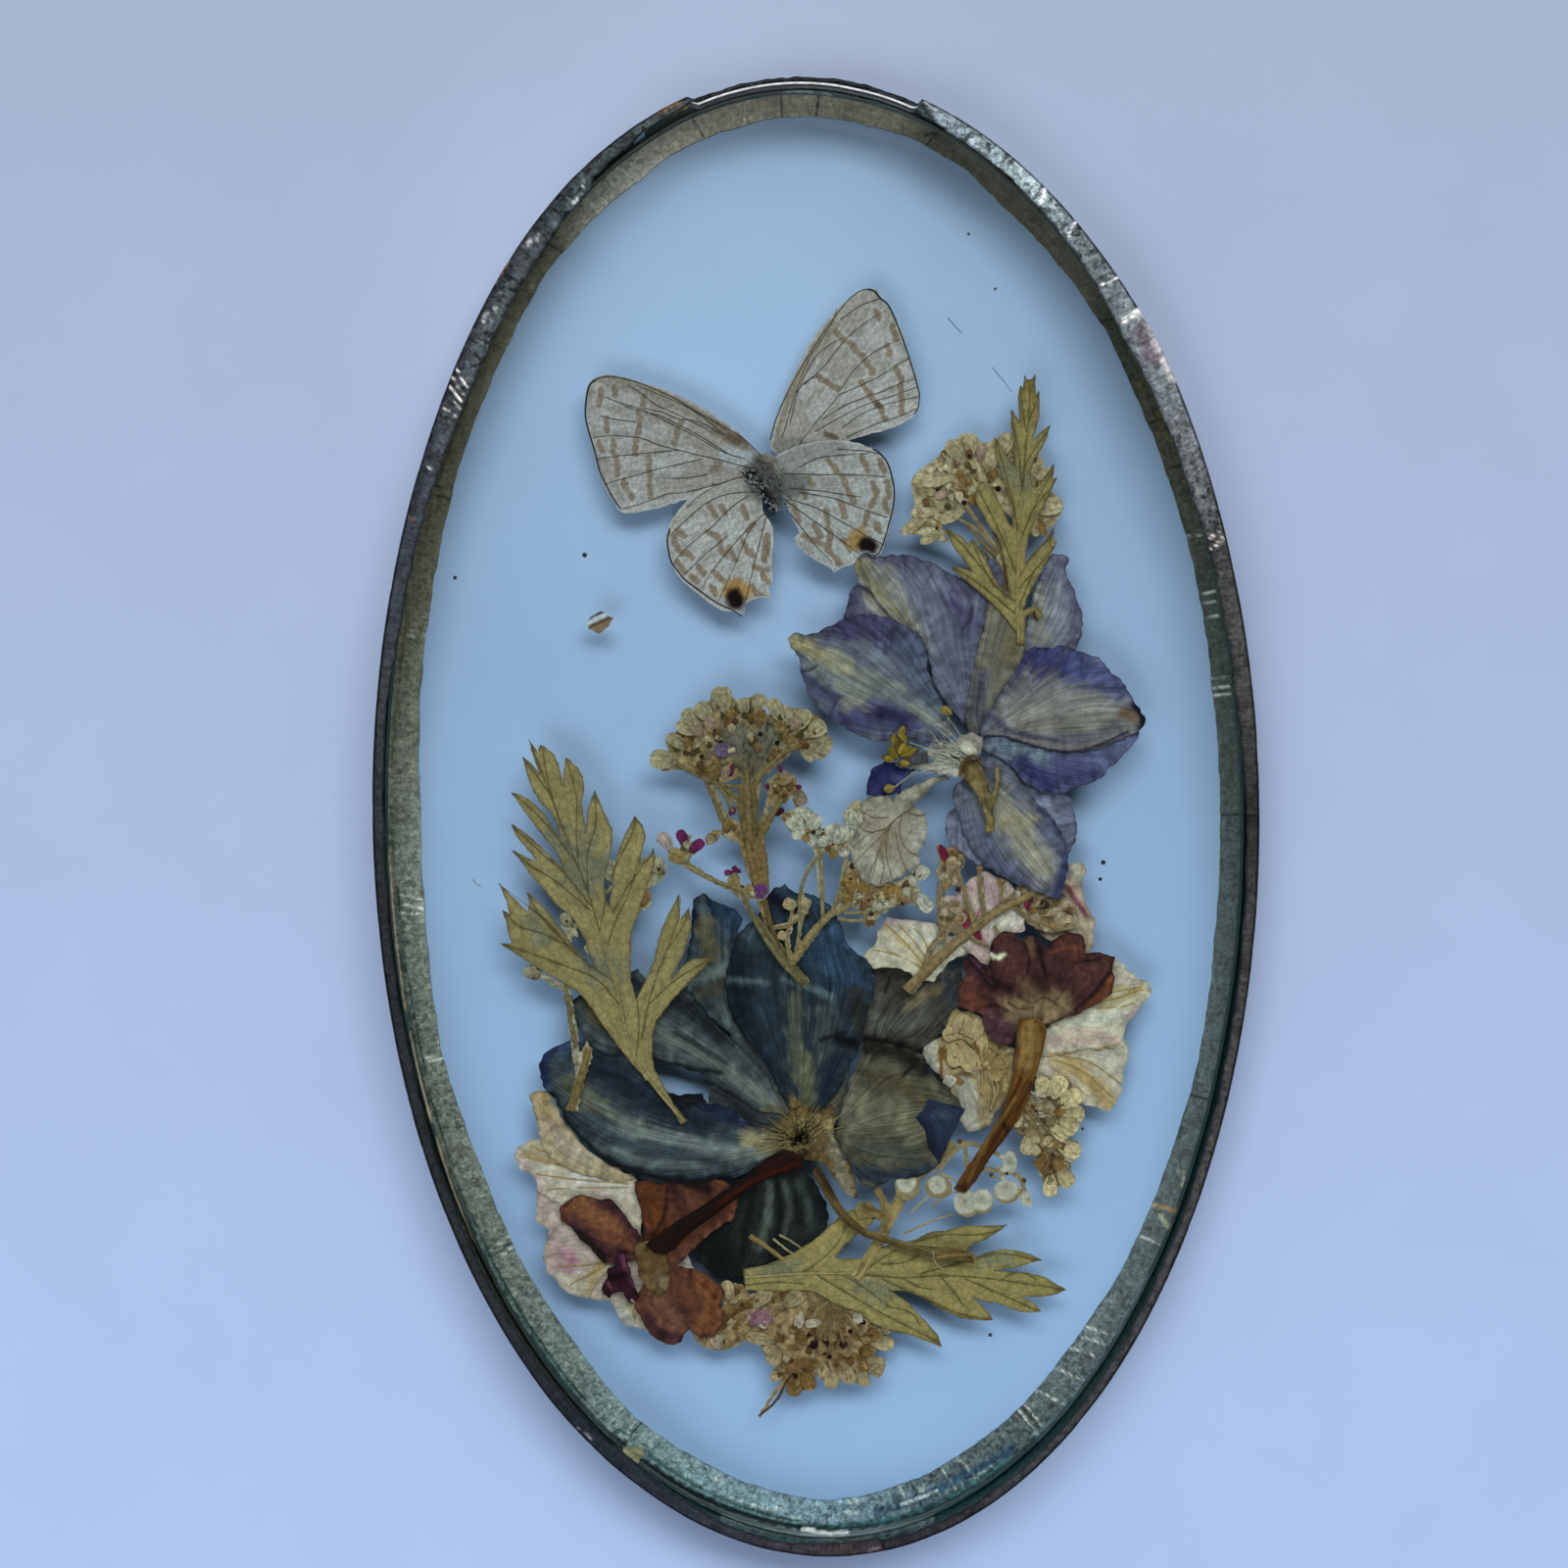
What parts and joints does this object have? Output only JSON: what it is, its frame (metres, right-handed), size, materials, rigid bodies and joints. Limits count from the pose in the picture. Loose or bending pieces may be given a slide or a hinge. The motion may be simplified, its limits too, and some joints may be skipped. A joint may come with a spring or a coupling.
{
  "type": "pressed flower frame",
  "caption": "Oval panes of clear glass bound at the rim with folded foil tape, holding a loose layer of pressed flowers, leaves and a butterfly.",
  "frame": {"origin": "middle of the oval's bounding box, on the surface that the frame lies on", "axes": "+Y along the oval towards its top, +X across it to the right as it is looked at, +Z out of the front pane"},
  "size_m": [0.0904, 0.1518, 0.0074],
  "materials": {
    "foil": "wrinkled soft foil, tarnished in places",
    "glass": "clear, polished, cut edges",
    "wing": "thin dry scaled membrane",
    "violet_petal": "thin dry petal, streaked",
    "blue_petal": "thin dry petal, streaked",
    "olive_petal": "thin dry petal, streaked",
    "cream_petal": "thin dry veined petal",
    "red_petal": "thin dry petal, mottled",
    "leaf": "dry leaf, matte, dark veins",
    "floret": "dry crumpled florets",
    "stalk": "dry ribbed stalk",
    "body": "short fine hair"
  },
  "bodies": {
    "root": {"foil_tape": "foil", "front_glass": "glass", "back_glass": "glass", "butterfly_left_forewing": "wing", "butterfly_right_forewing": "wing", "butterfly_left_hindwing": "wing", "butterfly_right_hindwing": "wing", "butterfly_body": "body", "wing_scrap": "wing", "violet_upper_left_petal": "violet_petal", "violet_left_petal": "violet_petal", "violet_upper_right_petal": "violet_petal", "violet_centre_petal": "olive_petal", "violet_right_petal": "violet_petal", "violet_right_lower_petal": "violet_petal", "violet_lower_petal": "violet_petal", "violet_lower_back_petal": "violet_petal", "violet_small_petal": "violet_petal", "violet_heart": "cream_petal", "violet_spur": "stalk", "violet_stamens": "floret", "pale_petal": "cream_petal", "leaf_top": "leaf", "leaf_left": "leaf", "leaf_bottom": "leaf", "umbel_top": "floret", "umbel_centre": "floret", "umbel_left": "floret", "umbel_bottom": "floret", "umbel_right": "floret", "pink_sprig": "floret", "pink_umbel": "floret", "white_umbel": "floret", "white_florets": "cream_petal", "blue_left_petal": "blue_petal", "blue_upper_left_petal": "blue_petal", "blue_top_left_petal": "blue_petal", "blue_top_petal": "blue_petal", "blue_right_upper_petal": "blue_petal", "blue_right_lower_petal": "olive_petal", "blue_bottom_petal": "blue_petal", "blue_heart": "floret", "blue_stalk": "stalk", "tan_stalk": "floret", "cream_petal_upper_left": "cream_petal", "cream_petal_upper": "cream_petal", "pink_petals_right": "cream_petal", "cream_petal_right": "cream_petal", "cream_petal_lower_right": "cream_petal", "cream_crumpled_flower": "cream_petal", "red_right_corolla": "red_petal", "red_right_stalk": "stalk", "peach_petal": "cream_petal", "cream_left_upper_petal": "cream_petal", "cream_left_lower_petal": "cream_petal", "red_left_corolla": "red_petal", "red_left_bud": "red_petal", "red_left_throat": "floret", "red_left_stalk": "stalk"}
  },
  "joints": []
}
